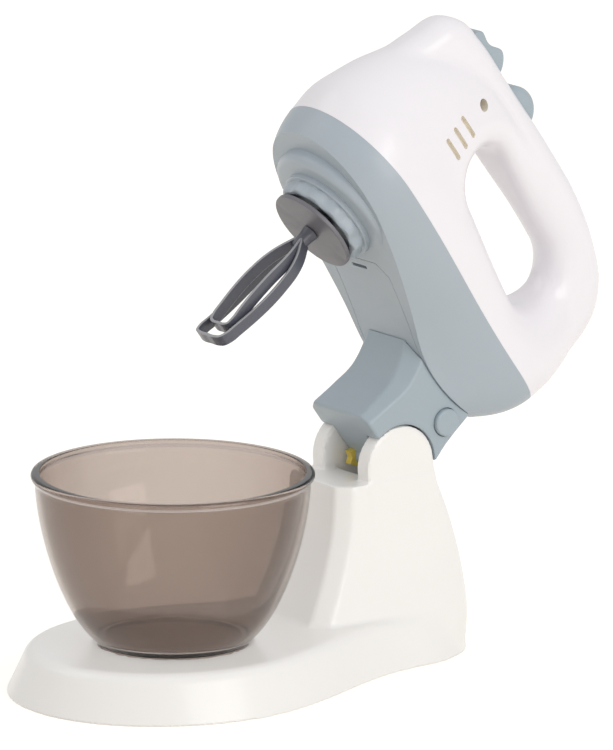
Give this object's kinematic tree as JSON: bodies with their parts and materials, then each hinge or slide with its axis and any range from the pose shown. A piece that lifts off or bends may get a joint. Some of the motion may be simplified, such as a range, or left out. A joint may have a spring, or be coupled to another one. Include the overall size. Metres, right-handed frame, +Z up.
{
  "type": "toy stand mixer",
  "caption": "Toy stand mixer: a battery hand mixer with a beater on a tilting cradle, above a smoky bowl on a pear-shaped stand.",
  "frame": {"origin": "on the floor, under the middle of the stand's footprint, between front and rear edge", "axes": "+Z up, -Y towards the bowl and the mixer's nose, +X to the mixer's left, where the release button is"},
  "size_m": [0.132, 0.2951, 0.2696],
  "materials": {
    "ivory_plastic": "gloss",
    "white_plastic": "gloss",
    "blue_grey_plastic": "satin",
    "smoky_plastic": "gloss",
    "dark_plastic": "satin",
    "yellow_plastic": "gloss",
    "pale_gear": "satin",
    "steel": "satin",
    "motor_steel": "satin",
    "brass": "satin",
    "cell_wrap": "gloss"
  },
  "bodies": {
    "stand": {"stand_shell": "ivory_plastic", "base_plate": "ivory_plastic", "base_screws": "steel", "hinge_pin": "steel"},
    "bowl": {"bowl": "smoky_plastic"},
    "cradle": {"tilt_arm": "blue_grey_plastic", "detent_cam": "yellow_plastic"},
    "release": {"release_button": "blue_grey_plastic", "latch_tongue": "blue_grey_plastic"},
    "mixer": {"upper_housing_left": "white_plastic", "upper_housing_right": "white_plastic", "lower_housing": "blue_grey_plastic", "battery_door": "blue_grey_plastic", "door_screw": "steel", "belly_screws": "steel", "housing_screw": "steel", "aa_cells": "cell_wrap", "battery_contacts": "steel", "motor": "motor_steel", "gear_plate": "dark_plastic", "gear_plate_screws": "steel", "idler_axle": "steel", "spindle_bush": "pale_gear", "nose_collar": "blue_grey_plastic", "speed_switch": "dark_plastic", "power_switch": "dark_plastic"},
    "spindle": {"drive_spindle": "steel", "output_gear": "pale_gear", "splash_disc": "dark_plastic"},
    "beater": {"beater": "dark_plastic"},
    "idler": {"idler_gear": "pale_gear"},
    "pinion": {"motor_pinion": "brass"},
    "slider": {"speed_slider": "blue_grey_plastic"},
    "power": {"power_button": "blue_grey_plastic"}
  },
  "joints": [
    {"name": "head_tilt", "type": "hinge", "parent": "stand", "child": "cradle", "pos_m": [0, 0.0683, 0.084], "axis": [1, 0, 0], "range_deg": [0, 54]},
    {"name": "mixer_lift", "type": "slide", "parent": "cradle", "child": "mixer", "axis": [0, 0.809, 0.5878], "range_m": [0, 0.03]},
    {"name": "release_press", "type": "slide", "parent": "cradle", "child": "release", "axis": [-1, 0, 0], "range_m": [0, 0.002], "stiffness_N_per_m": 600, "springref_m": -0.002},
    {"name": "speed_slide", "type": "slide", "parent": "mixer", "child": "slider", "axis": [0, 0.5878, -0.809], "range_m": [0, 0.005]},
    {"name": "power_press", "type": "slide", "parent": "mixer", "child": "power", "axis": [0, -0.809, -0.5878], "range_m": [0, 0.0025], "stiffness_N_per_m": 400, "springref_m": -0.002},
    {"name": "spindle_spin", "type": "hinge", "parent": "mixer", "child": "spindle", "pos_m": [0, 0.0485, 0.19631], "axis": [0, 0.809, 0.5878], "continuous": true},
    {"name": "beater_pull", "type": "slide", "parent": "spindle", "child": "beater", "axis": [0, -0.809, -0.5878], "range_m": [0, 0.01]},
    {"name": "idler_spin", "type": "hinge", "parent": "mixer", "child": "idler", "pos_m": [0.014, 0.04482, 0.20988], "axis": [0, 0.809, 0.5878], "continuous": true},
    {"name": "pinion_spin", "type": "hinge", "parent": "mixer", "child": "pinion", "pos_m": [0, 0.04432, 0.21909], "axis": [0, 0.809, 0.5878], "continuous": true},
    {"name": "bowl_lift", "type": "slide", "parent": "stand", "child": "bowl", "axis": [0, 0, 1], "range_m": [0, 0.012]}
  ],
  "couplings": [
    {"joint": "idler_spin", "follows": "spindle_spin", "ratio": -3},
    {"joint": "pinion_spin", "follows": "spindle_spin", "ratio": 7}
  ]
}
